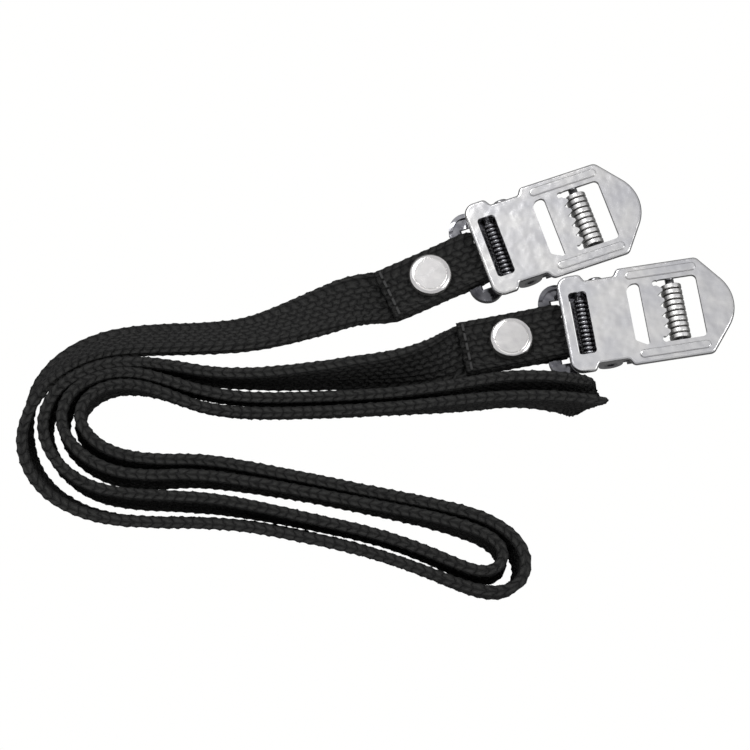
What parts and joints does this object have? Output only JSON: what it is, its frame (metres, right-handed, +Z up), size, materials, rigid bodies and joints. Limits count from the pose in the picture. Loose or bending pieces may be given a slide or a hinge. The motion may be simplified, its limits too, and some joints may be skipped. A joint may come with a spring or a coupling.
{
  "type": "buckled webbing strap pair",
  "caption": "Pair of folded black woven straps, each with a sprung stamped-steel cam buckle, toothed lever and ribbed roller riveted into one end.",
  "frame": {"origin": "centre of the outline on the ground plane", "axes": "+X from the folded bundle towards the buckle noses, +Y from the free tails towards the back buckle, +Z up"},
  "size_m": [0.1492, 0.0946, 0.0121],
  "materials": {
    "webbing": "matt coarse woven nylon",
    "thread": "matt bonded thread",
    "lever_steel": "bright zinc plate over pressed sheet",
    "frame_steel": "bright zinc plate over pressed sheet",
    "rivet_steel": "polished nickel plate",
    "roller_steel": "turned and zinc plated",
    "spring_steel": "bright drawn wire",
    "pin_steel": "bright drawn and peened"
  },
  "bodies": {
    "straps_and_frames": {"back_webbing": "webbing", "back_seam_stitches": "thread", "back_rivet_cap": "rivet_steel", "back_rivet_post": "rivet_steel", "back_base_frame": "frame_steel", "back_pivot_pin": "pin_steel", "back_spring_pin": "pin_steel", "back_torsion_spring": "spring_steel", "back_roller_axle": "pin_steel", "front_webbing": "webbing", "front_seam_stitches": "thread", "front_rivet_cap": "rivet_steel", "front_rivet_post": "rivet_steel", "front_base_frame": "frame_steel", "front_pivot_pin": "pin_steel", "front_spring_pin": "pin_steel", "front_torsion_spring": "spring_steel", "front_roller_axle": "pin_steel"},
    "back_lever": {"back_lever_plate": "lever_steel"},
    "front_lever": {"front_lever_plate": "lever_steel"},
    "back_roller": {"back_clamp_roller": "roller_steel"},
    "front_roller": {"front_clamp_roller": "roller_steel"}
  },
  "joints": [
    {"name": "back_lever_hinge", "type": "hinge", "parent": "straps_and_frames", "child": "back_lever", "pos_m": [0.02901, 0.03022, 0.0037], "axis": [0.3289, -0.9444, 0], "range_deg": [0, 7], "stiffness_Nm_per_rad": 0.2, "springref_deg": -14.32, "deforming": ["back_torsion_spring"]},
    {"name": "back_roller_axis", "type": "hinge", "parent": "straps_and_frames", "child": "back_roller", "pos_m": [0.04374, 0.03535, 0.004], "axis": [-0.3289, 0.9444, 0], "continuous": true},
    {"name": "front_lever_hinge", "type": "hinge", "parent": "straps_and_frames", "child": "front_lever", "pos_m": [0.04708, 0.01234, 0.0037], "axis": [0.1564, -0.9877, 0], "range_deg": [0, 7], "stiffness_Nm_per_rad": 0.2, "springref_deg": -14.32, "deforming": ["front_torsion_spring"]},
    {"name": "front_roller_axis", "type": "hinge", "parent": "straps_and_frames", "child": "front_roller", "pos_m": [0.06249, 0.01478, 0.004], "axis": [-0.1564, 0.9877, 0], "continuous": true}
  ]
}
